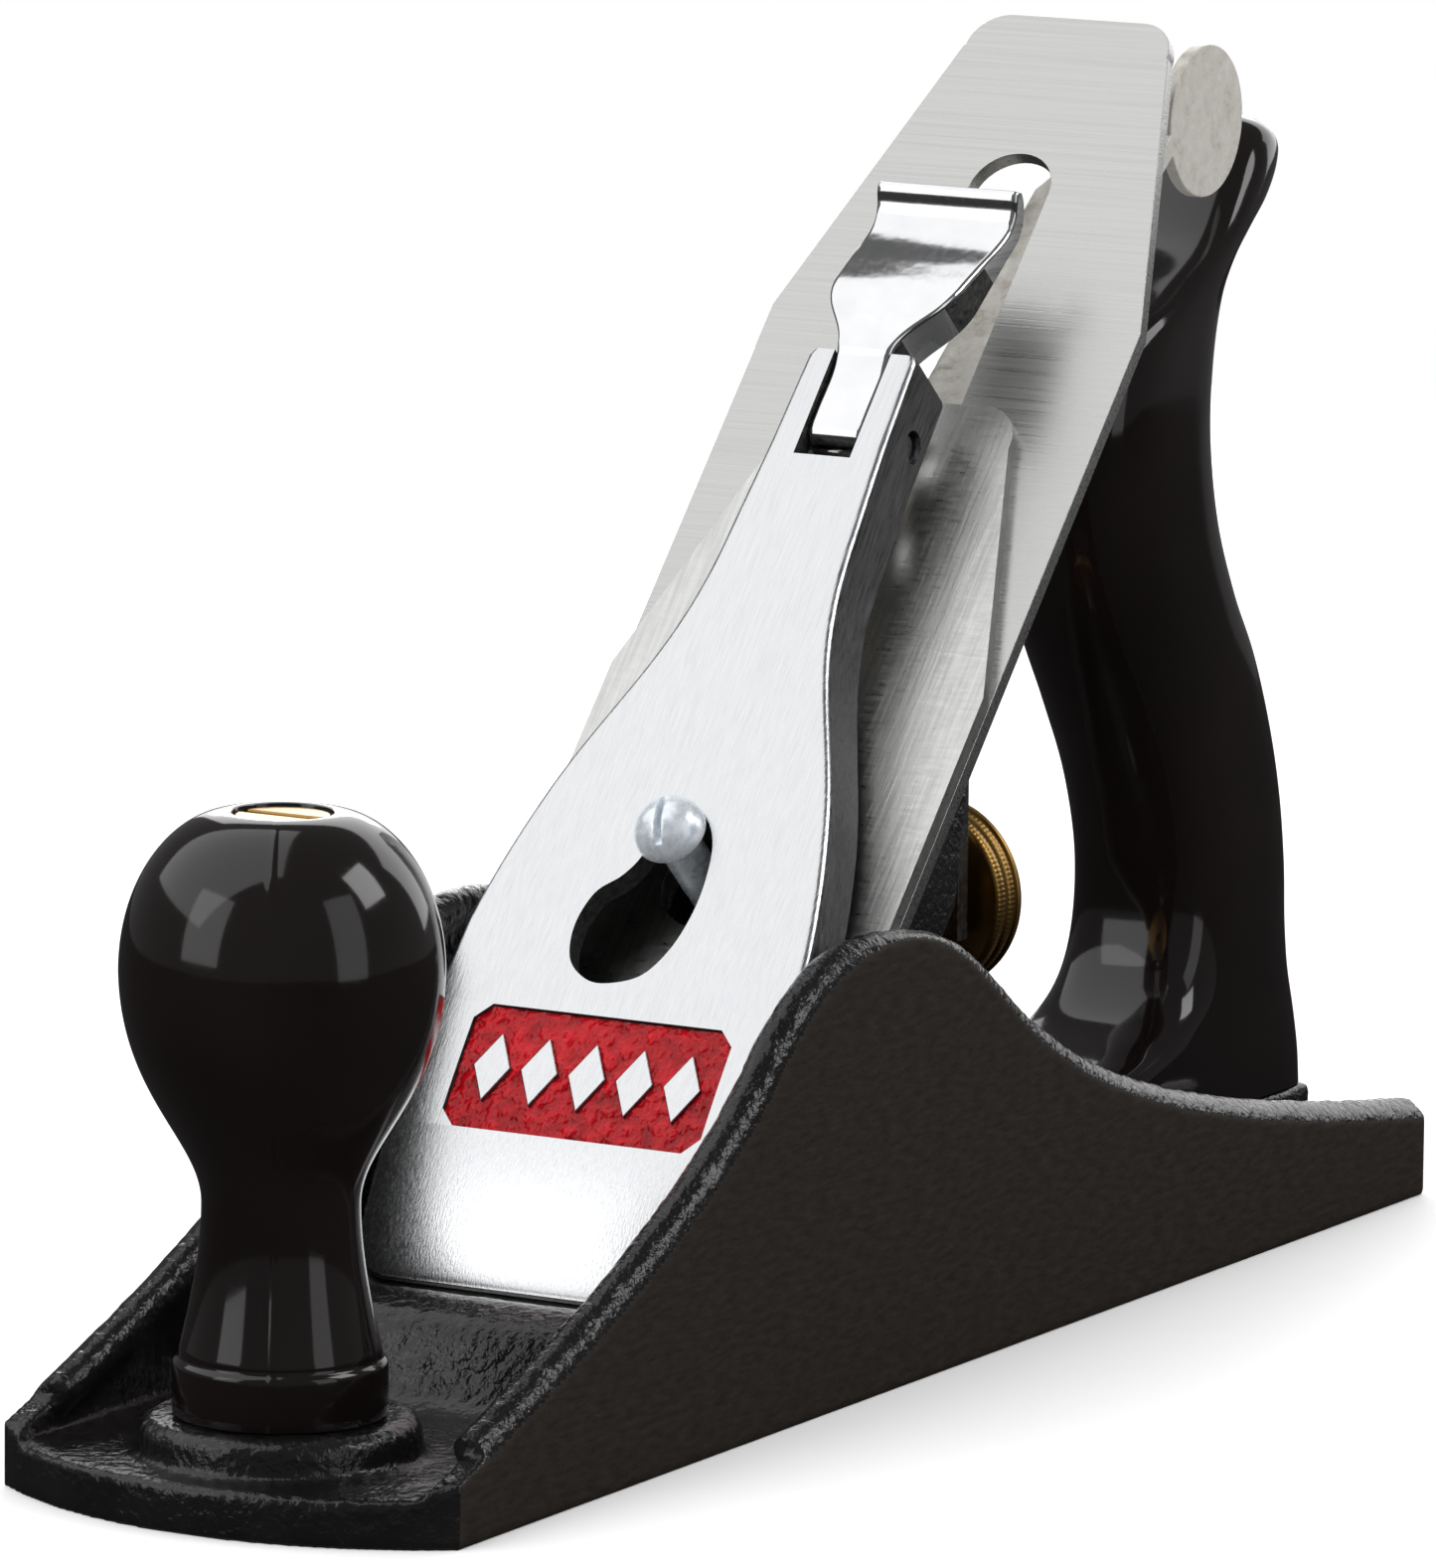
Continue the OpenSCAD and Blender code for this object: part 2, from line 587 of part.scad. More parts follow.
module knob_nut() color("#c9b27a") in_row() translate([0, -knob_y, boss_z + knob_h - knob_well + 0.1])
    difference() {
        slotted_head(5.4, 5, 1.6);
        translate([0, 0, -1]) cylinder(r = 3 + run_gap, h = 3.2);
    }

// Outline of the tote as [y, z], counter-clockwise from the front of its foot
function tote_outline() = concat(
    [[72.5, pad_z], [127, pad_z]],
    curve([[127, 20], [127, 46], [122, 62], [112.5, 76]]),
    curve([[112.5, 76], [102, 88], [102, 100], [106, 116]]),
    curve([[106, 116], [110, 123], [118, 124], [122, 129]], 5),
    curve([[122, 129], [125, 134], [118.5, 138], [112.5, 134]], 6),
    curve([[112.5, 134], [104, 124], [93, 118], [79, 112]]),
    curve([[79, 112], [71, 106], [71, 90], [80, 74]]),
    curve([[80, 74], [88, 62], [97.5, 50], [97.5, 37]]),
    curve([[97.5, 37], [97.5, 24], [84.5, 24], [74.5, 19]]),
    [[72.5, 17.5]]);

module tote() color("#101012") in_row() difference() {
    across(tote_w / 2 - 0.5) polygon(tote_outline());
    tote_rod(3.3, -10, 200);
    tote_rod(5.9, tote_rod_l - 8, 200);
}

module tote_bolt() color("#8d8f92") in_row() tote_rod(3, -1, tote_rod_l - 2);

module tote_nut() color("#c9b27a") in_row() difference() {
    tote_rod(5.7, tote_rod_l - 7.9, tote_rod_l - 2);
    tote_rod(3.05, tote_rod_l - 12, tote_rod_l - 1.9);
}

sole_casting();
frog();
frog_screws();
frog_screw_washers();
frog_adjusting_screw();
frog_adjusting_clip();
frog_clip_screw();
depth_stud();
depth_nut();
yoke();
yoke_pin();
lateral_lever();
lateral_lever_rivet();
lateral_roller();
roller_rivet();
lever_cap_screw();
blade();
cap_iron();
cap_iron_screw();
lever_cap();
lever_cap_enamel();
lever_cap_spring();
spring_rivet();
cam_lever();
cam_pin();
knob();
knob_bolt();
knob_nut();
tote();
tote_bolt();
tote_nut();
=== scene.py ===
"""Looks of the bench hand plane: detailed pieces, procedural finishes, floor, lights and camera."""
import json
import math

import bmesh
import bpy
import numpy as np
from mathutils import Matrix, Vector, noise


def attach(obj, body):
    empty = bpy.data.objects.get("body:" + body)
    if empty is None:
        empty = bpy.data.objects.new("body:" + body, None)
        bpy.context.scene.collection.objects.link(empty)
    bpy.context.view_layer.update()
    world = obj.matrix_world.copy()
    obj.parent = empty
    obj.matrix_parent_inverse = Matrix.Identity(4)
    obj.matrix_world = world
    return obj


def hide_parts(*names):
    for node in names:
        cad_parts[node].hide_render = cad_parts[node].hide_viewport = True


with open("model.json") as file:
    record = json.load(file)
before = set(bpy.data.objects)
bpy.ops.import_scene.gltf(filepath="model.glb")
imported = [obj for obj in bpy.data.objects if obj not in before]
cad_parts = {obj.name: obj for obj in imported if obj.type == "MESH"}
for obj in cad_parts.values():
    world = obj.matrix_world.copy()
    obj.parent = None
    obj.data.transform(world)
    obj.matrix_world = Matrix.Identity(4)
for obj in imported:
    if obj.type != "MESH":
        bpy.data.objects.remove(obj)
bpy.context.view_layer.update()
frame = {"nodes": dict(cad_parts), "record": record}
nodes = frame["nodes"]
record = frame["record"]
body_of = {n: b for b, ns in record["behaviour"]["bodies"].items() for n in ns}

# The plane's own sizes, in millimetres
MM = 0.001
SIDE = 30
PITCH = math.radians(48)
BED_Y = -55
KNOB_Y, BOSS_Z = -105, 10
STUD_Z = 47
CAM_U, CAM_H = 130.3, 11.5
SLOT_HW, SLOT_U = 3.85, 124.2
# From the bed's frame, x across, u along and h above it, to the scene's. The inverse leads back,
# for points and, as UPRIGHT, for directions.
BED = Matrix.Translation((0, BED_Y * MM, 0)) @ Matrix.Rotation(PITCH, 4, "X")
BED_INVERSE = BED.inverted()
UPRIGHT = BED_INVERSE.to_3x3()


# ------------------------------------------------------------------ curves
def bez(a, b, c, d, steps):
    """Points of a cubic curve, without its last one."""
    out = []
    for i in range(steps):
        t = i / steps
        out.append(tuple((1 - t) ** 3 * p + 3 * t * (1 - t) ** 2 * q
                         + 3 * t * t * (1 - t) * r + t ** 3 * s
                         for p, q, r, s in zip(a, b, c, d)))
    return out


def through(points, steps, closed=False):
    """A smooth curve through the points."""
    n = len(points)
    out = []
    for i in range(n if closed else n - 1):
        if closed:
            p = [points[(i + k) % n] for k in (-1, 0, 1, 2)]
        else:
            p = [points[min(max(i + k, 0), n - 1)] for k in (-1, 0, 1, 2)]
        for s in range(steps):
            t = s / steps
            out.append(tuple(0.5 * (2 * b + (c - a) * t + (2 * a - 5 * b + 4 * c - d) * t * t
                                    + (3 * b - a - 3 * c + d) * t ** 3) for a, b, c, d in zip(*p)))
    if not closed:
        out.append(tuple(points[-1]))
    return out


def graph(points):
    """The straight-line function through the points."""
    at, value = [p[0] for p in points], [p[1] for p in points]
    return lambda u: float(np.interp(u, at, value))


# ------------------------------------------------------------------ meshes
def add_mesh(name, verts, faces):
    """A new mesh object from points in millimetres."""
    mesh = bpy.data.meshes.new(name)
    mesh.from_pydata([Vector(v) * MM for v in verts], [], faces)
    bm = bmesh.new()
    bm.from_mesh(mesh)
    bmesh.ops.recalc_face_normals(bm, faces=bm.faces)
    bm.to_mesh(mesh)
    bm.free()
    mesh.shade_smooth()
    obj = bpy.data.objects.new(name, mesh)
    bpy.context.scene.collection.objects.link(obj)
    return obj


def skin(name, rings):
    """Closed rings of equal length joined into a solid, with flat ends."""
    n = len(rings[0])
    verts = [v for ring in rings for v in ring]
    faces = [(i * n + j, i * n + (j + 1) % n, (i + 1) * n + (j + 1) % n, (i + 1) * n + j)
             for i in range(len(rings) - 1) for j in range(n)]
    faces += [tuple(range(n)), tuple(range((len(rings) - 1) * n, len(rings) * n))]
    return add_mesh(name, verts, faces)


def wrap(name, rings):
    """Closed rings joined into one another all the way round."""
    turns, n = len(rings), len(rings[0])
    verts = [v for ring in rings for v in ring]
    faces = [(i * n + j, i * n + (j + 1) % n,
              (i + 1) % turns * n + (j + 1) % n, (i + 1) % turns * n + j)
             for i in range(turns) for j in range(n)]
    return add_mesh(name, verts, faces)


def around(steps):
    """The angles of a full turn."""
    return [2 * math.pi * k / steps for k in range(steps)]


# The angles of a quarter turn
QUARTER = [math.radians(d) for d in range(0, 91, 15)]


def rod(name, u, h, r, ends, steps=32):
    """A round bar across the bed, between two values of x."""
    return skin(name, [[(x, u + r * math.cos(a), h + r * math.sin(a)) for a in around(steps)]
                       for x in ends])


def prism(name, outline, low, high):
    """An outline given as (x, u) made solid between two heights above the bed."""
    return skin(name, [[(x, u, h) for x, u in outline] for h in (low, high)])


def modify(obj, kind, **settings):
    modifier = obj.modifiers.new(kind.title(), kind)
    for key, value in settings.items():
        setattr(modifier, key, value)


def bake(obj):
    """The object's modifiers become its mesh."""
    evaluated = obj.evaluated_get(bpy.context.evaluated_depsgraph_get())
    mesh = bpy.data.meshes.new_from_object(evaluated)
    obj.modifiers.clear()
    obj.data = mesh
    return obj


def carve(obj, *tools, operation="DIFFERENCE"):
    """Takes the tools out of the object, or adds them to it, and removes them."""
    for tool in tools:
        modify(obj, "BOOLEAN", operation=operation, solver="EXACT", object=tool)
        bake(obj)
        bpy.data.objects.remove(tool)
    return obj


def sharpen(obj, degrees):
    """Smooth shading, except where faces meet at more than the angle."""
    obj.data.shade_smooth()
    obj.data.set_sharp_from_angle(angle=math.radians(degrees))
    return obj


def soften(obj, width):
    """Rounds the object's sharp edges. The width is in millimetres."""
    bm = bmesh.new()
    bm.from_mesh(obj.data)
    bmesh.ops.remove_doubles(bm, verts=bm.verts, dist=2e-6)
    bmesh.ops.dissolve_limit(bm, angle_limit=math.radians(0.7), verts=bm.verts, edges=bm.edges)
    bm.to_mesh(obj.data)
    bm.free()
    obj.data.shade_smooth()
    modify(obj, "BEVEL", width=width * MM, segments=2, limit_method="ANGLE",
           angle_limit=math.radians(28), miter_outer="MITER_ARC")
    modify(obj, "WEIGHTED_NORMAL", weight=80, keep_sharp=True)
    return bake(obj)


def copy_of(node):
    """A new object with the shape of a CAD node."""
    mesh = nodes[node].data.copy()
    obj = bpy.data.objects.new(node + "_look", mesh)
    bpy.context.scene.collection.objects.link(obj)
    return obj


def paint(obj, *finishes):
    """Gives the object its finishes, the first of them on every face."""
    obj.data.materials.clear()
    for finish in finishes:
        obj.data.materials.append(look[finish])


def ride_with(obj, node):
    """The object moves with a CAD node."""
    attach(obj, body_of[node])


def show(obj, node):
    """Puts the object in the place of a CAD node."""
    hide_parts(node)
    ride_with(obj, node)


# ------------------------------------------------------------------ finishes
class Finish:
    """Builds one procedural material."""

    def __init__(self, name, **sockets):
        self.material = bpy.data.materials.new(name)
        self.material.use_nodes = True
        self.tree = self.material.node_tree
        self.shader = self.tree.nodes["Principled BSDF"]
        self.coords = self.tree.nodes.new("ShaderNodeTexCoord").outputs["Object"]
        for key, value in sockets.items():
            self.shader.inputs[key.replace("_", " ")].default_value = value

    def node(self, kind, **settings):
        made = self.tree.nodes.new(kind)
        for key, value in settings.items():
            setattr(made, key, value)
        return made

    def link(self, a, b):
        self.tree.links.new(a, b)

    def mapped(self, scale, tilt):
        """The object's coordinates, leaned back by the tilt and stretched by the scale."""
        mapping = self.node("ShaderNodeMapping")
        turn = self.node("ShaderNodeVectorRotate", rotation_type="X_AXIS")
        turn.inputs["Angle"].default_value = -tilt
        mapping.inputs["Scale"].default_value = scale
        self.link(self.coords, turn.inputs["Vector"])
        self.link(turn.outputs["Vector"], mapping.inputs["Vector"])
        return mapping.outputs["Vector"]

    def noise(self, scale, detail=3.0, rough=0.55, tilt=0.0):
        made = self.node("ShaderNodeTexNoise")
        made.inputs["Scale"].default_value = 1.0
        made.inputs["Detail"].default_value = detail
        made.inputs["Roughness"].default_value = rough
        self.link(self.mapped(scale, tilt), made.inputs["Vector"])
        return made.outputs["Fac"]

    def ramp(self, source, stops):
        made = self.node("ShaderNodeValToRGB")
        elements = made.color_ramp.elements
        while len(elements) < len(stops):
            elements.new(0.5)
        for element, (at, colour) in zip(elements, stops):
            element.position = at
            element.color = (*colour, 1)
        self.link(source, made.inputs["Fac"])
        return made.outputs["Color"]

    def spread(self, source, low, high):
        """The middle of a noise, 0.3 to 0.7, spread from low to high."""
        made = self.node("ShaderNodeMapRange")
        for key, value in (("From Min", 0.3), ("From Max", 0.7), ("To Min", low), ("To Max", high)):
            made.inputs[key].default_value = value
        self.link(source, made.inputs["Value"])
        return made.outputs["Result"]

    def colour(self, source, *stops):
        self.link(self.ramp(source, stops), self.shader.inputs["Base Color"])

    def rough(self, source, low, high):
        self.link(self.spread(source, low, high), self.shader.inputs["Roughness"])

    def bump(self, *layers):
        """Raises layers of (source, depth in metres) and hands the finished material over."""
        normal = None
        for source, depth in layers:
            made = self.node("ShaderNodeBump")
            made.inputs["Strength"].default_value = 1.0
            made.inputs["Distance"].default_value = depth
            self.link(source, made.inputs["Height"])
            if normal is not None:
                self.link(normal, made.inputs["Normal"])
            normal = made.outputs["Normal"]
        self.link(normal, self.shader.inputs["Normal"])
        return self.material


def even(scale):
    return (scale, scale, scale)


def make_finishes():
    """All finishes by name. The scale of a noise is in waves per metre along x, y and z."""
    out = {}
    f = Finish("black_japan", Specular_IOR_Level=0.5, IOR=1.5)
    peel = f.noise(even(800), 2.0)
    grit = f.noise(even(1900), 3.0)
    f.colour(f.noise(even(90), 2.0), (0.3, (0.0035, 0.0035, 0.004)), (0.7, (0.007, 0.0065, 0.007)))
    f.rough(grit, 0.13, 0.24)
    out["japan"] = f.bump((peel, 0.00026), (grit, 0.00006))

    f = Finish("black_machined", Specular_IOR_Level=0.22, IOR=1.5)
    grain = f.noise((900, 260, 900), 3.0)
    grit = f.noise(even(3200), 2.0)
    cloud = f.noise((700, 350, 1400), 4.0)
    f.colour(cloud, (0.3, (0.0135, 0.0104, 0.0082)), (0.72, (0.023, 0.0181, 0.0142)))
    f.rough(grain, 0.42, 0.56)
    out["machined"] = f.bump((grain, 0.00003), (grit, 0.00002))

    f = Finish("black_plastic", Specular_IOR_Level=0.5, IOR=1.5,
               Coat_Weight=0.25, Coat_Roughness=0.04)
    wave = f.noise(even(45), 1.0)
    f.colour(wave, (0.3, (0.0035, 0.0022, 0.0022)), (0.7, (0.006, 0.004, 0.004)))
    f.rough(f.noise(even(1200), 2.0), 0.07, 0.12)
    out["plastic"] = f.bump((wave, 0.00012))

    f = Finish("satin_chrome", Metallic=1.0)
    brush = f.noise((4600, 130, 4600), 3.0, 0.6, PITCH)
    cloud = f.noise(even(50), 3.0)
    f.colour(brush, (0.25, (0.68, 0.69, 0.71)), (0.75, (0.82, 0.83, 0.845)))
    f.rough(brush, 0.19, 0.31)
    out["satin"] = f.bump((brush, 0.000025), (cloud, 0.00005))

    f = Finish("polished_chrome", Metallic=1.0)
    cloud = f.noise(even(120), 3.0)
    f.colour(cloud, (0.3, (0.8, 0.81, 0.83)), (0.7, (0.9, 0.9, 0.91)))
    f.rough(f.noise(even(1500), 2.0), 0.07, 0.13)
    out["chrome"] = f.bump((cloud, 0.00006))

    f = Finish("ground_steel", Metallic=1.0)
    grind = f.noise((25, 3300, 3300), 4.0, 0.65, PITCH)
    wide = f.noise((8, 400, 400), 2.0, 0.5, PITCH)
    f.colour(grind, (0.25, (0.5, 0.5, 0.495)), (0.75, (0.66, 0.66, 0.65)))
    f.rough(grind, 0.22, 0.4)
    out["ground"] = f.bump((grind, 0.00003), (wide, 0.00003))

    f = Finish("cap_iron_steel", Metallic=1.0)
    grind = f.noise((1700, 90, 1700), 4.0, 0.65, PITCH)
    scratch = f.noise((300, 2400, 900), 3.0, 0.7, PITCH + 0.5)
    f.colour(grind, (0.25, (0.55, 0.55, 0.54)), (0.75, (0.78, 0.78, 0.765)))
    f.rough(scratch, 0.26, 0.42)
    out["cap_iron"] = f.bump((grind, 0.00003), (scratch, 0.00002))

    f = Finish("bright_zinc", Metallic=0.5)
    dapple = f.noise(even(900), 3.0)
    f.colour(dapple, (0.3, (0.62, 0.68, 0.74)), (0.7, (0.84, 0.88, 0.92)))
    f.rough(dapple, 0.2, 0.36)
    out["zinc"] = f.bump((dapple, 0.00004))

    f = Finish("dark_steel", Metallic=1.0)
    turned = f.noise(even(1500), 3.0)
    f.colour(turned, (0.3, (0.16, 0.16, 0.165)), (0.7, (0.3, 0.3, 0.3)))
    f.rough(turned, 0.3, 0.48)
    out["steel"] = f.bump((turned, 0.00003))

    f = Finish("mottled_nickel", Metallic=0.45)
    mottle = f.noise(even(420), 5.0, 0.7)
    f.colour(mottle, (0.3, (0.42, 0.39, 0.33)), (0.45, (0.56, 0.54, 0.49)),
             (0.75, (0.68, 0.67, 0.63)))
    f.rough(mottle, 0.5, 0.32)
    out["nickel"] = f.bump((mottle, 0.00005))

    f = Finish("turned_brass", Metallic=1.0)
    turned = f.noise((60, 2200, 60), 3.0)
    f.colour(turned, (0.25, (0.33, 0.18, 0.045)), (0.75, (0.56, 0.35, 0.11)))
    f.rough(turned, 0.26, 0.4)
    out["brass"] = f.bump((turned, 0.00003))

    f = Finish("red_enamel", Specular_IOR_Level=0.3, IOR=1.45)
    lump = f.noise(even(520), 2.0)
    f.colour(lump, (0.3, (0.24, 0.001, 0.004)), (0.65, (0.5, 0.005, 0.012)))
    f.rough(f.noise(even(1500), 2.0), 0.1, 0.2)
    out["enamel"] = f.bump((lump, 0.0009))

    # The lever cap's sides: a much darker copy of its chrome, painted shade, with a brushed grain
    f = Finish("brushed_edge_painted_shade", Metallic=1.0)
    brush = f.noise((2600, 160, 2600), 4.0, 0.7, PITCH)
    f.colour(brush, (0.3, (0.07, 0.07, 0.072)), (0.72, (0.3, 0.3, 0.31)))
    f.rough(brush, 0.24, 0.42)
    out["edge"] = f.bump((brush, 0.00005))

    # Near-black rough metal for openings, recesses, undersides and sides: cast surface and dirt,
    # darkened further as painted shade
    f = Finish("cast_wall_dirt_and_painted_shade", Metallic=0.6)
    grit = f.noise(even(1400), 4.0)
    f.colour(grit, (0.3, (0.02, 0.02, 0.02)), (0.7, (0.09, 0.088, 0.085)))
    f.rough(grit, 0.4, 0.65)
    out["wall"] = f.bump((grit, 0.00015))

    f = Finish("pale_floor", Specular_IOR_Level=0.1)
    f.colour(f.noise(even(3), 1.0), (0.3, (0.9, 0.9, 0.9)), (0.7, (0.92, 0.92, 0.92)))
    f.rough(f.noise(even(5), 1.0), 0.6, 0.7)
    # The polished pieces see a dark floor
    dim = f.node("ShaderNodeBsdfDiffuse")
    dim.inputs["Color"].default_value = (0.02, 0.02, 0.02, 1)
    path = f.node("ShaderNodeLightPath")
    mix = f.node("ShaderNodeMixShader")
    f.link(path.outputs["Is Glossy Ray"], mix.inputs["Fac"])
    f.link(f.shader.outputs["BSDF"], mix.inputs[1])
    f.link(dim.outputs["BSDF"], mix.inputs[2])
    f.link(mix.outputs["Shader"], f.node("ShaderNodeOutputMaterial").inputs["Surface"])
    f.tree.nodes.remove(f.tree.nodes["Material Output"])
    out["floor"] = f.material
    return out


look = make_finishes()


# ------------------------------------------------------------------ sole casting
def fbm(p, scale):
    """Noise of three octaves."""
    return (noise.noise(p * scale) + 0.5 * noise.noise(p * scale * 2.1)
            + 0.25 * noise.noise(p * scale * 4.3))


# Top of a cheek as (y, z) from the toe to the heel, and the part of it that carries a rim
CHEEK = (bez((-125.5, 5), (-121, 6), (-118, 7), (-116.5, 7), 6)
         + bez((-116.5, 7), (-95, 14), (-61, 27), (-46, 41.3), 20)
         + bez((-46, 41.3), (-37, 50), (-29, 53.6), (-17, 53.6), 16)
         + bez((-17, 53.6), (-1, 53.6), (8, 40.1), (22, 33.8), 16)
         + bez((22, 33.8), (41, 23), (81, 14.6), (125.5, 9.4), 20))
RIM = [p for p in CHEEK if -113 < p[0] < 119.4] + [(119.2, 10.1)]


def slimness(y):
    """How far the rim thins out, from 0 to 1, at its peak where the irons pass."""
    return np.exp(-((y + 12) / 13) ** 2)


def build_bead(side):
    """Round rod along the top of a cheek."""
    rings = []
    for i, (y, z) in enumerate(RIM):
        (ya, za), (yb, zb) = RIM[max(i - 1, 0)], RIM[min(i + 1, len(RIM) - 1)]
        away_y, away_z = Vector((za - zb, yb - ya)).normalized()
        slim = float(slimness(y))
        r = 2.55 - 0.85 * slim
        ring = []
        for a in around(20):
            out = r * math.sin(a) - 0.3 - 0.9 * slim
            x = side * (SIDE - 0.05 - r + r * math.cos(a))
            ring.append((x, y + away_y * out, z + away_z * out))
        rings.append(ring)
    return skin("bead", rings)


def round_shoulders(co):
    """Rounds the outer corner along the top of each cheek. Points are in metres."""
    line = np.array(CHEEK) * MM
    start, step = line[:-1], np.diff(line, axis=0)
    length = np.hypot(step[:, 0], step[:, 1])
    away = np.stack([-step[:, 1], step[:, 0]], 1) / length[:, None]
    for chunk in np.array_split(np.nonzero(np.abs(co[:, 0]) > (SIDE - 4.5) * MM)[0], 40):
        yz = co[chunk][:, 1:]
        rel = yz[:, None, :] - start[None]
        along = np.clip((rel * step[None]).sum(2) / (length ** 2)[None], 0, 1)
        gap = np.linalg.norm(rel - along[:, :, None] * step[None], axis=2)
        near = gap.argmin(1)
        pick = np.arange(len(chunk))
        above = (rel[pick, near] * away[near]).sum(1)
        slim = slimness(yz[:, 0] / MM)
        r = (3.5 - 2.0 * slim) * MM
        top = (2.25 - 1.75 * slim) * MM
        # Distance past the centre of the rounding, outwards and upwards
        a = r - (SIDE * MM - np.abs(co[chunk, 0]))
        b = above - top + r
        reach = np.hypot(a, b)
        outside = (a > 0) & (b > 0) & (reach > r)
        ratio = np.where(outside, r / np.maximum(reach, 1e-9), 1.0)
        co[chunk, 0] -= np.sign(co[chunk, 0]) * a * (1 - ratio)
        co[chunk, 1:] -= away[near] * (b * (1 - ratio))[:, None]


def read(items, key, width, kind=np.float32):
    """One value of every vertex, edge or face as rows of an array."""
    out = np.empty(len(items) * width, kind)
    items.foreach_get(key, out)
    return out.reshape(-1, width)


def move_to(mesh, co):
    mesh.vertices.foreach_set("co", co.ravel())
    mesh.update()


def relax(mesh, co, free, rounds):
    """Draws every free point towards the mean of its neighbours."""
    count = len(co)
    a, b = read(mesh.edges, "vertices", 2, np.int32).T
    degree = np.bincount(a, minlength=count) + np.bincount(b, minlength=count)
    for _ in range(rounds):
        mean = np.empty_like(co)
        for k in range(3):
            total = np.bincount(a, co[b, k], count) + np.bincount(b, co[a, k], count)
            mean[:, k] = total / degree
        co += (mean - co) * (0.6 * free)[:, None]


def build_sole():
    """The casting with fillets and a rough skin, and flat machined flanks and underside."""
    obj = copy_of("sole_casting")
    bm = bmesh.new()
    bm.from_mesh(obj.data)
    for side in (-1, 1):
        bead = build_bead(side)
        bm.from_mesh(bead.data)
        bpy.data.objects.remove(bead)
    bm.to_mesh(obj.data)
    bm.free()
    voxel = 0.45
    modify(obj, "REMESH", mode="VOXEL", voxel_size=voxel * MM, use_smooth_shade=True)
    bake(obj)
    mesh = obj.data
    co = read(mesh.vertices, "co", 3)
    round_shoulders(co)
    # The machined faces stay where they are, and the skin gets rough a little way off them
    skirt = 1.2 * MM
    free = np.minimum(np.clip((SIDE * MM - np.abs(co[:, 0]) - 0.2 * MM) / skirt, 0, 1),
                      np.clip((co[:, 2] - 0.3 * MM) / skirt, 0, 1))
    relax(mesh, co, free, 14)
    move_to(mesh, co)
    normal = read(mesh.vertices, "normal", 3)
    bumps = np.zeros(len(co), np.float32)
    for i in np.nonzero(free > 0.02)[0]:
        p = Vector(co[i].tolist())
        bumps[i] = 0.1 * MM * fbm(p, 260) + 0.09 * MM * fbm(p, 800)
    co += normal * (bumps * free)[:, None]
    move_to(mesh, co)
    paint(obj, "japan", "machined")
    centres = read(mesh.polygons, "center", 3)
    flat = (np.abs(centres[:, 0]) > (SIDE - 0.16) * MM) | (centres[:, 2] < 0.2 * MM)
    mesh.polygons.foreach_set("material_index", flat.astype(np.int32))
    mesh.shade_smooth()
    show(obj, "sole_casting")


# ------------------------------------------------------------------ handles
def build_knob():
    """Turned ball knob with a mould seam on both sides."""
    # Foot, waist, ball, top and the well of the nut, as (radius, height)
    profile = [(11.5, 0), (12.0, 0.15), (12.15, 0.6), (12.1, 5.7), (12.0, 6.15), (11.65, 6.4),
               (11.45, 6.7)]
    profile += bez((11.5, 7.0), (9.8, 13.5), (8.9, 19), (8.9, 24), 24)
    profile += bez((8.9, 24), (9.0, 31), (17.9, 36), (18.2, 50), 36)
    profile += bez((18.2, 50), (18.2, 61), (11.7, 68), (6.1, 68), 36)
    profile += [(6.1, 68), (5.75, 67.9), (5.6, 67.6), (5.6, 62.5), (3.3, 62.5), (3.3, 0.0)]
    seams = (math.radians(-63), math.radians(117))
    seam_high, seam_wide = 0.2, 0.26
    rings = []
    for angle in around(288):
        gap = min(abs(math.remainder(angle - s, 2 * math.pi)) for s in seams)
        ring = []
        for r, z in profile:
            if r >= 6.2:
                r += seam_high * math.exp(-(gap * r / seam_wide) ** 2)
            ring.append((r * math.cos(angle), KNOB_Y + r * math.sin(angle), BOSS_Z + z))
        rings.append(ring)
    knob = sharpen(wrap("knob_look", rings), 45)
    paint(knob, "plastic")
    show(knob, "knob")


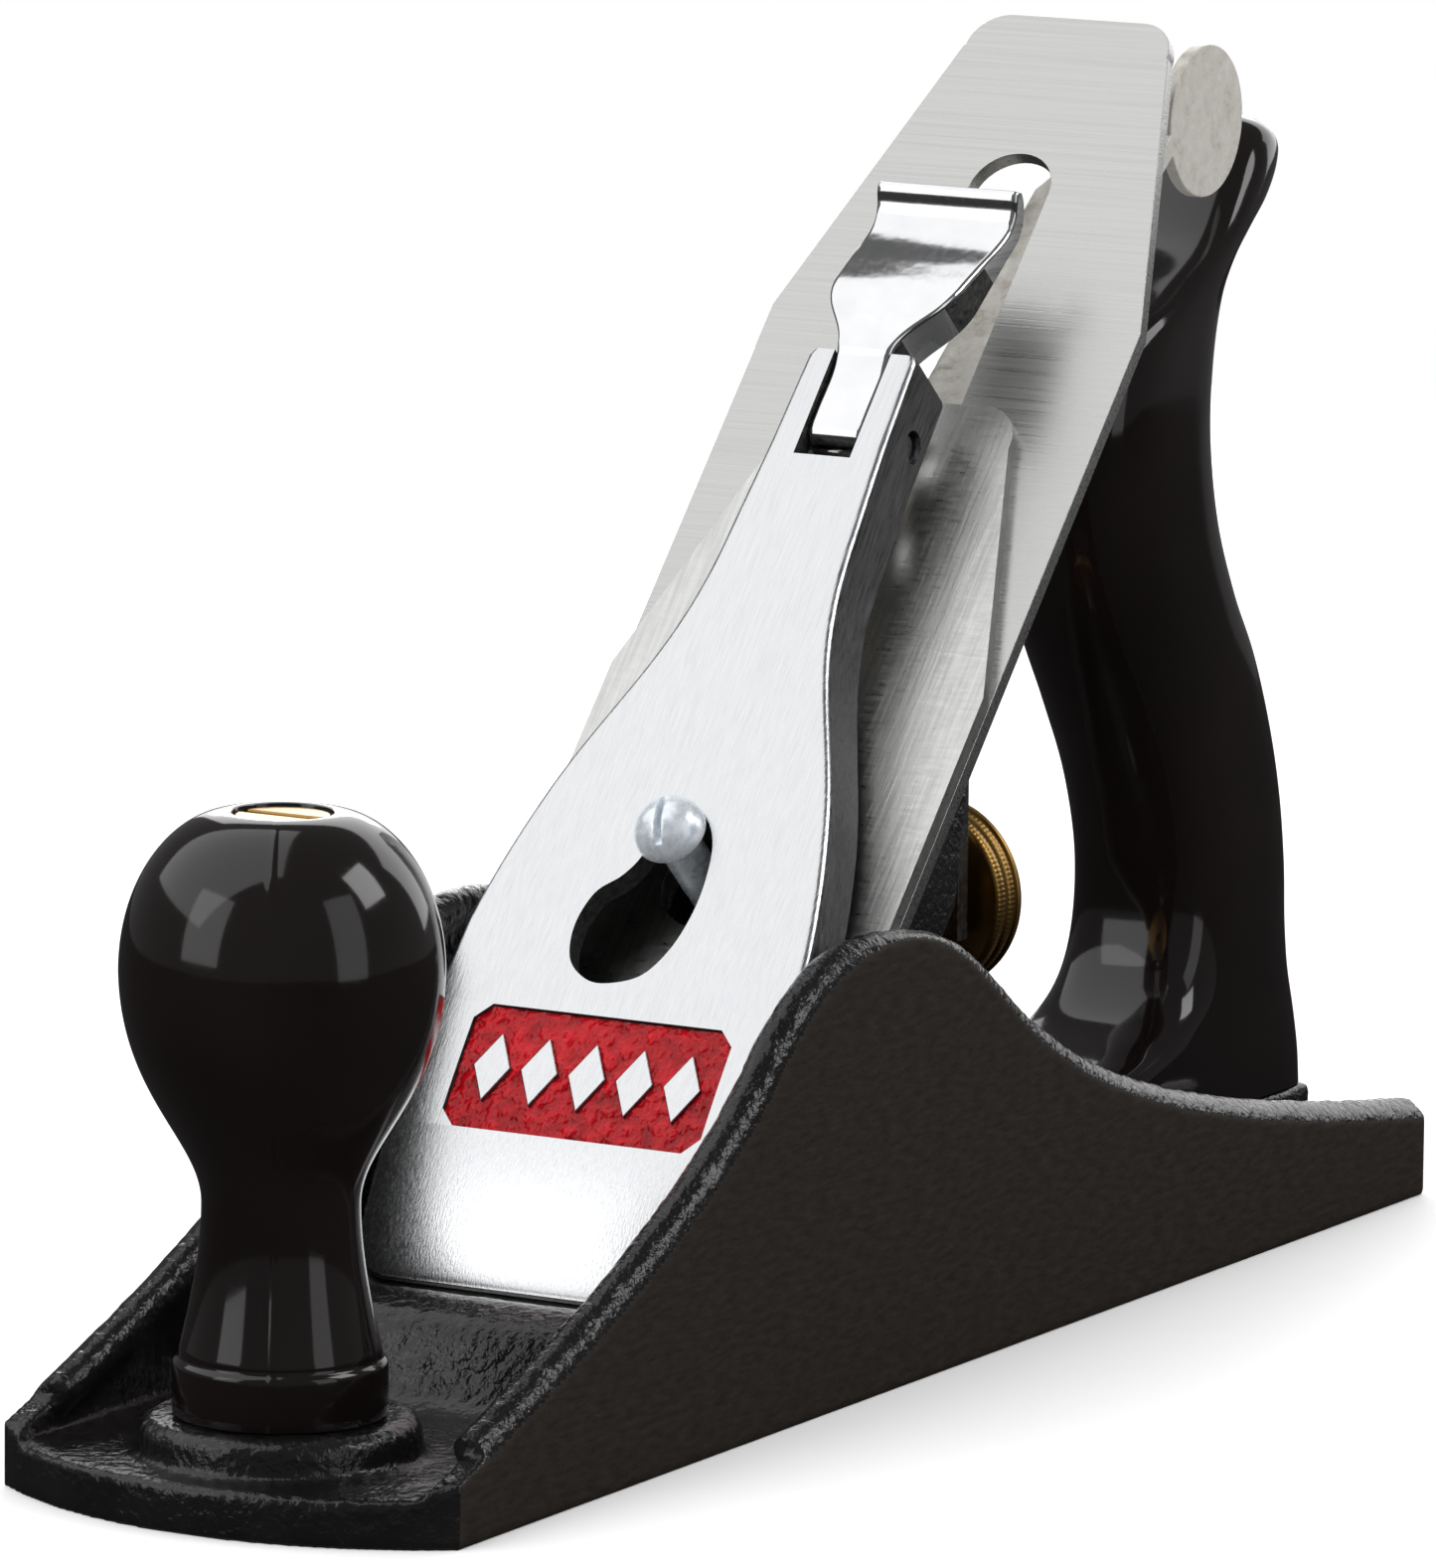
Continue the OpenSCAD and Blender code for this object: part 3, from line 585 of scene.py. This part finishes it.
def build_tote():
    """Closed-grip handle, skinned from its foot to its horn."""
    # Point of the front line, point of the rear line, half width and squareness, from the foot up
    keys = [(69.5, 12, 124, 12, 11.4, 9), (69.4, 15, 124, 16, 11.4, 8),
            (71.6, 18.8, 124.1, 21, 11.3, 6), (80, 21.6, 124, 27, 11.1, 4.2),
            (88.5, 25.6, 123.6, 34, 11, 3.4), (93.3, 32, 122.8, 42, 11, 3.2),
            (94.3, 42, 121, 51, 11, 3.1), (90.8, 53, 118.2, 60, 11, 3.0),
            (84.5, 63.5, 113.8, 69.5, 11, 3.0), (78, 73.5, 108.4, 77.5, 11, 3.0),
            (73.2, 84, 103.6, 87, 11, 3.0), (71, 95, 101.2, 97.5, 11, 3.0),
            (71.6, 105, 101.4, 107, 11, 3.0), (76, 112, 103.3, 115, 10.8, 3.0),
            (86, 117, 106.6, 120.2, 10.4, 2.8), (96.5, 122.3, 110.8, 123.6, 9.8, 2.7),
            (103.8, 128.3, 115.4, 125.8, 9.2, 2.6),
            (109, 133.3, 119.2, 128.9, 8.4, 2.5), (113, 135.6, 120.9, 131.6, 7, 2.4),
            (116.3, 136, 120.4, 134, 4, 2.2)]
    rings = []
    for fy, fz, by, bz, hw, square in through(keys, 7):
        ring = []
        for angle in around(72):
            c, s = math.cos(angle), math.sin(angle)
            along = math.copysign(abs(c) ** (2 / square), c)
            out = math.copysign(abs(s) ** (2 / square), s)
            mix = (1 + along) / 2
            ring.append((hw * out, fy + (by - fy) * mix, fz + (bz - fz) * mix))
        rings.append(ring)
    tote = skin("tote_look", rings)
    # Well of the nut, along the sloping bolt
    foot, top, well_r = Vector((0, 112, 5)), Vector((0, 82, 110)), 5.9
    lean = (top - foot).normalized()
    start = top - lean * 8
    side = Vector((1, 0, 0))
    up = lean.cross(side)
    circle = [(side * math.cos(a) + up * math.sin(a)) * well_r for a in around(48)]
    hole = skin("nut_hole", [[tuple(start + lean * d + v) for v in circle] for d in (0, 40)])
    sharpen(carve(tote, hole), 50)
    paint(tote, "plastic")
    show(tote, "tote")


# ------------------------------------------------------------------ lever cap
def cap_line():
    """Half of the lever cap's outline as (x, u), from the rounded lower corner up."""
    corner = 4.6
    pts = [(24.2 - corner + corner * math.sin(a), 17 - corner * math.cos(a)) for a in QUARTER]
    pts += bez((24.4, 30), (24.8, 52), (22.8, 63), (19, 76), 24)
    pts += bez((19, 76), (15, 89), (9.2, 96), (8.6, 114), 24)
    pts += [(7.8, 126), (7.4, 138.4), (7.0, 139.2)]
    return pts


# Height of the top of the lever cap at u
cap_height = graph(bez((12.4, 7.2), (20, 10), (30, 12.1), (46, 13.5), 24)
                   + bez((46, 13.5), (70, 15.6), (105, 17.2), (139.4, 17.8), 24)
                   + [(139.4, 17.8)])


def stations(low, high, step):
    """Evenly spaced values, both ends among them."""
    return list(np.linspace(low, high, max(2, int((high - low) / step) + 1)))


def channel(name, us, half, top, bottom, radius, wall=0, roof=None):
    """A plate with rounded upper edges, hollow from below if it has a roof.

    Half width, top, bottom and roof are functions of u.
    """
    rings = []
    for u in us:
        w, t, b = half(u), top(u), bottom(u)
        r = min(radius, (t - b) * 0.45, w * 0.5)
        outer = [(w, b)] + [(w - r + r * math.cos(a), t - r + r * math.sin(a)) for a in QUARTER]
        line = outer + [(-x, h) for x, h in reversed(outer)]
        if roof is not None:
            inner_w = max(0.2, w - wall)
            inner_h = max(b, roof(u))
            line += [(-inner_w, b), (-inner_w, inner_h), (inner_w, inner_h), (inner_w, b)]
        rings.append([(x, u, h) for x, h in line])
    return skin(name, rings)


# Keyhole that slips over the cap screw, as (x, u)
KEYHOLE = through([(-2.2, 50.8), (2.2, 52.2), (4.7, 55.6), (6.0, 60), (6.3, 65), (5.4, 70.5),
                   (2.9, 73.9), (-0.9, 73.8), (-3.0, 71.0), (-3.2, 67.8), (-4.8, 65.0),
                   (-7.5, 62.4), (-8.6, 58), (-7.7, 53.7), (-5.2, 51.4)], 8, True)
# Half width, lower and upper edge and cut corner of the enamelled panel
PANEL = (17.4, 30.8, 46.6, 2.0)
PANEL_DEPTH = 0.85


def panel_outline():
    hw, low, high, cut = PANEL
    return [(-hw + cut, low), (hw - cut, low), (hw, low + cut), (hw, high - cut),
            (hw - cut, high), (-hw + cut, high), (-hw, high - cut), (-hw, low + cut)]


def on_surface(name, outline, below, above):
    """A solid over an outline whose two faces follow the top of the lever cap."""
    return skin(name, [[(x, u, cap_height(u) + d) for x, u in outline] for d in (below, above)])


def fine(outline, step=1.0):
    """The outline with points added along its sides."""
    out = []
    for (ax, ay), (bx, by) in zip(outline, outline[1:] + outline[:1]):
        n = max(1, int(math.hypot(bx - ax, by - ay) / step))
        out += [(ax + (bx - ax) * i / n, ay + (by - ay) * i / n) for i in range(n)]
    return out


def lozenges():
    """Five plain lozenges in a row on the panel."""
    middle, hw, hh, pitch = 38.7, 2.5, 4.4, 6.4
    return [[(x - hw, middle), (x, middle - hh), (x + hw, middle), (x, middle + hh)]
            for x in (pitch * k for k in range(-2, 3))]


def grid_plate(name, hw, low, high, lift, bumps):
    """A lumpy sheet under the top of the lever cap. Its corners end inside the metal."""
    nx, nu = 110, 48
    verts = []
    for j in range(nu + 1):
        u = low + (high - low) * j / nu
        for i in range(nx + 1):
            x = -hw + 2 * hw * i / nx
            verts.append((x, u, cap_height(u) + lift + bumps * fbm(Vector((x, u, 0)), 0.55)))
    n = nx + 1
    faces = [(j * n + i, j * n + i + 1, (j + 1) * n + i + 1, (j + 1) * n + i)
             for j in range(nu) for i in range(nx)]
    return add_mesh(name, verts, faces)


def build_lever_cap():
    """Hollow cap with keyhole, cam slot and pin hole, and the panel's enamel and lozenges."""
    half = graph([(u, x) for x, u in cap_line()])
    bottom = graph([(12, 6.3), (28, 6.6), (92, 6.6), (106, 8.2), (145, 8.4)])
    roof = graph([(12, 0), (26, 0), (30, 8.6), (46, 10.6), (80, 13), (125, 14.6), (145, 14.8)])
    at = stations(12.4, 17, 0.35)[:-1] + stations(17, 139.2, 0.8)
    cap = channel("lever_cap_look", at, half, cap_height, bottom, 1.1, 2.6, roof)
    slot = [(-SLOT_HW, SLOT_U), (SLOT_HW, SLOT_U), (SLOT_HW, 150), (-SLOT_HW, 150)]
    pin_r, pit_r, pit_x = 1.55, 2.05, 6.1
    carve(cap, prism("kidney", KEYHOLE, -5, 40), prism("slot", slot, -5, 40),
          on_surface("recess", fine(panel_outline()), -PANEL_DEPTH, 5),
          rod("pin", CAM_U, CAM_H, pin_r, (-20, 20)),
          rod("pit", CAM_U, CAM_H, pit_r, (pit_x, 20)),
          rod("pit", CAM_U, CAM_H, pit_r, (-20, -pit_x)))
    sharpen(cap, 34)
    cap.data.transform(BED)
    paint(cap, "satin", "wall", "edge")
    # Cast walls in the openings and underneath, near black as dirt and painted shade; brushed edges
    # on the outside, darker than the top as painted shade
    for face in cap.data.polygons:
        c = BED_INVERSE @ face.center / MM
        n = UPRIGHT @ face.normal
        in_keyhole = min(math.hypot(c.x - x, c.y - u) for x, u in KEYHOLE) < 0.7
        in_panel = abs(c.x) < 18.5 and 29 < c.y < 48.5
        in_slot = abs(c.x) < 4 and c.y > 123.5
        if ((in_keyhole or in_panel or in_slot) and abs(n.z) < 0.4) or n.z < -0.5:
            face.material_index = 1
        elif abs(n.z) < 0.45:
            face.material_index = 2
    show(cap, "lever_cap")
    hw, low, high, _ = PANEL
    plate = grid_plate("lever_cap_enamel_look", hw - 0.1, low + 0.1, high - 0.1, -0.5, 0.18)
    plate.data.transform(BED)
    paint(plate, "enamel")
    show(plate, "lever_cap_enamel")
    for i, shape in enumerate(lozenges()):
        raised = on_surface(f"panel_lozenge_{i}", fine(shape, 0.6), -0.9, -0.02)
        soften(raised, 0.16)
        raised.data.transform(BED)
        paint(raised, "satin", "wall")
        # Sides of the lozenges in the near-black wall finish: dirt and painted shade around them
        for face in raised.data.polygons:
            if (UPRIGHT @ face.normal).z < 0.4:
                face.material_index = 1
        ride_with(raised, "lever_cap")


def build_cam_lever():
    """Cam between the ears of the cap, a neck, and a paddle with a rolled lip."""
    shape = [(3.6, 126.8), (3.6, 138)]
    shape += bez((3.6, 138), (3.7, 143.5), (8.0, 144.5), (8.8, 150), 16)
    shape += bez((8.8, 150), (9.2, 156), (9.5, 161), (9.7, 166.4), 8) + [(9.7, 166.4)]
    top = through([(126.8, 15.2), (127.3, 16.3), (128.4, 17.0), (131, 17.2), (136, 17.25),
                   (138.5, 17.7), (141, 18.2), (148, 17.3), (154, 15.3), (158.5, 13.5),
                   (161.5, 12.7), (163.6, 13.2), (165.2, 14.5), (166.1, 14.7), (166.5, 14.0)], 8)
    low = through([(126.8, 12.6), (127.6, 9.8), (131, 9.0), (135, 11.4), (141, 12.2), (148, 11.8),
                   (154, 11.2), (159, 10.6), (162, 10.2), (164.4, 11.0), (165.9, 12.4),
                   (166.5, 13.7)], 8)
    at = stations(126.8, 161, 0.5)[:-1] + stations(161, 166.5, 0.2)
    half = graph([(u, x) for x, u in shape])
    lever = channel("cam_lever_look", at, half, graph(top), graph(low), 0.7)
    barrel = rod("cam_barrel", CAM_U - 0.2, CAM_H - 0.3, 4.5, (-3.4, 3.4), 48)
    carve(lever, barrel, operation="UNION")
    sharpen(lever, 34)
    lever.data.transform(BED)
    paint(lever, "chrome", "wall")
    # Rough sides of the paddle, below its polished edge, near black as painted shade
    for face in lever.data.polygons:
        c = BED_INVERSE @ face.center / MM
        if abs(face.normal.x) > 0.9 and c.y > 139 and c.z < 15.8 - 0.35 * max(0, c.y - 146):
            face.material_index = 1
    show(lever, "cam_lever")


def build_depth_nut():
    """Thumb nut with a collar for the yoke, two finely milled bands and a plain flange."""
    # As (radius, y), from the front of the collar to the rear of the flange
    profile = [(3.05, 30.4), (8.3, 30.4), (8.5, 30.6), (8.5, 32.0), (8.3, 32.2), (4.9, 32.2),
               (4.9, 39.7), (10.8, 39.7), (11.3, 39.85), (11.62, 40.2), (11.65, 41.3), (11.4, 41.6),
               (11.15, 41.7), (11.15, 42.0), (11.5, 42.15), (11.8, 42.5), (11.8, 43.3),
               (11.55, 43.6), (11.4, 43.65), (11.4, 43.85), (11.8, 43.95), (11.97, 44.15),
               (11.97, 44.6), (11.7, 44.88), (11.2, 44.9), (3.05, 44.9)]
    teeth, depth = 120, 0.08
    rings = []
    for angle in around(4 * teeth):
        ring = []
        for r, y in profile:
            if r > 11.55 and y < 43.5:
                r -= depth / 2 * (1 - math.cos(teeth * angle))
            ring.append((r * math.cos(angle), y, STUD_Z + r * math.sin(angle)))
        rings.append(ring)
    nut = sharpen(wrap("depth_nut_look", rings), 50)
    paint(nut, "brass")
    show(nut, "depth_nut")


# ------------------------------------------------------------------ the other pieces
# Finish and edge rounding of the pieces that keep their CAD shape
PLAIN = {"frog": ("japan", 0.6), "frog_screws": ("zinc", 0.2), "frog_screw_washers": ("zinc", 0.12),
         "frog_adjusting_screw": ("steel", 0.2), "frog_adjusting_clip": ("steel", 0.15),
         "frog_clip_screw": ("zinc", 0.15), "depth_stud": ("steel", 0.3), "yoke": ("steel", 0.35),
         "yoke_pin": ("zinc", 0.2), "lateral_lever": ("nickel", 0.35),
         "lateral_lever_rivet": ("zinc", 0.15), "lateral_roller": ("nickel", 0.15),
         "roller_rivet": ("zinc", 0.1), "lever_cap_screw": ("zinc", 0.18),
         "blade": ("ground", 0.12), "cap_iron": ("cap_iron", 0.16),
         "cap_iron_screw": ("steel", 0.3), "lever_cap_spring": ("nickel", 0.12),
         "spring_rivet": ("zinc", 0.15), "cam_pin": ("steel", 0.15), "knob_bolt": ("steel", 0.3),
         "knob_nut": ("brass", 0.25), "tote_bolt": ("steel", 0.3), "tote_nut": ("brass", 0.25)}

build_sole()
build_knob()
build_tote()
build_lever_cap()
build_cam_lever()
build_depth_nut()
for name, (finish, width) in PLAIN.items():
    piece = soften(copy_of(name), width)
    paint(piece, finish)
    show(piece, name)


# ------------------------------------------------------------------ studio
def add_floor():
    """A pale floor just under the sole, which ends short of the lights behind the plane."""
    reach, rear, z = 1500, 800, -0.05
    corners = [(-reach, -reach, z), (reach, -reach, z), (reach, rear, z), (-reach, rear, z)]
    floor = add_mesh("floor", corners, [(0, 1, 2, 3)])
    floor.data.materials.append(look["floor"])


LIGHTS_MEET = Vector((0, 0, 0.07))
# Name, direction from the plane, distance, width and height, and radiance
LIGHTS = [("key", (-0.5, -0.25, 0.83), 1.2, (1.7, 1.7), 1.0),
          ("front_left", (-0.43, -0.85, 0.34), 1.2, (0.6, 0.75), 1.1),
          ("right", (0.71, 0.28, 0.64), 1.1, (0.45, 0.45), 3.6),
          ("front_right", (0.95, -0.2, 0.3), 1.2, (0.5, 1.0), 0.7),
          ("back", (-0.15, 1, 0.42), 1.4, (1.9, 1.0), 1.6),
          ("glint", (-0.5, 0.85, 0.24), 1.3, (0.5, 0.16), 5.0)]


def add_light(name, direction, distance, size, radiance):
    """A soft rectangular light aimed at the plane. The radiance is that of its face."""
    data = bpy.data.lights.new(name, "AREA")
    data.shape = "RECTANGLE"
    data.size, data.size_y = size
    data.energy = radiance * math.pi * size[0] * size[1]
    light = bpy.data.objects.new(name, data)
    bpy.context.scene.collection.objects.link(light)
    way = Vector(direction).normalized()
    light.location = LIGHTS_MEET + way * distance
    light.rotation_euler = (-way).to_track_quat("-Z", "Y").to_euler()


def add_world():
    """White to the camera, pale on matt surfaces and dim in reflections."""
    world = bpy.data.worlds.new("studio")
    world.use_nodes = True
    tree = world.node_tree
    tree.nodes.clear()
    out = tree.nodes.new("ShaderNodeOutputWorld")
    path = tree.nodes.new("ShaderNodeLightPath")
    shade = None
    for strength, ray in ((0.12, None), (0.95, "Is Diffuse Ray"), (1.0, "Is Camera Ray")):
        sky = tree.nodes.new("ShaderNodeBackground")
        sky.inputs["Color"].default_value = (1, 1, 1, 1)
        sky.inputs["Strength"].default_value = strength
        if ray is None:
            shade = sky.outputs["Background"]
            continue
        mix = tree.nodes.new("ShaderNodeMixShader")
        tree.links.new(path.outputs[ray], mix.inputs["Fac"])
        tree.links.new(shade, mix.inputs[1])
        tree.links.new(sky.outputs["Background"], mix.inputs[2])
        shade = mix.outputs["Shader"]
    tree.links.new(shade, out.inputs["Surface"])
    bpy.context.scene.world = world


def add_camera():
    """A long lens from the front right, slightly above and slightly rolled."""
    azimuth, elevation, roll = math.radians(30.2), math.radians(9.55), math.radians(0.57)
    back = Vector((math.sin(azimuth) * math.cos(elevation),
                   -math.cos(azimuth) * math.cos(elevation), math.sin(elevation)))
    right = Vector((math.cos(azimuth), math.sin(azimuth), 0))
    up = back.cross(right)
    rolled_right = right * math.cos(roll) + up * math.sin(roll)
    rolled_up = up * math.cos(roll) - right * math.sin(roll)
    target, distance = Vector((-10.13, -3, 63.49)) * MM, 1.4
    data = bpy.data.cameras.new("camera")
    data.sensor_width = 36
    data.lens = 271.0
    data.shift_x, data.shift_y = 0.0321, 0.0129
    data.clip_end = 50
    camera = bpy.data.objects.new("camera", data)
    bpy.context.scene.collection.objects.link(camera)
    turn = Matrix((rolled_right, rolled_up, back)).transposed().to_4x4()
    camera.matrix_world = Matrix.Translation(target + back * distance) @ turn
    bpy.context.scene.camera = camera


add_floor()
for light_row in LIGHTS:
    add_light(*light_row)
add_world()
add_camera()
bpy.context.scene.view_settings.view_transform = "Standard"
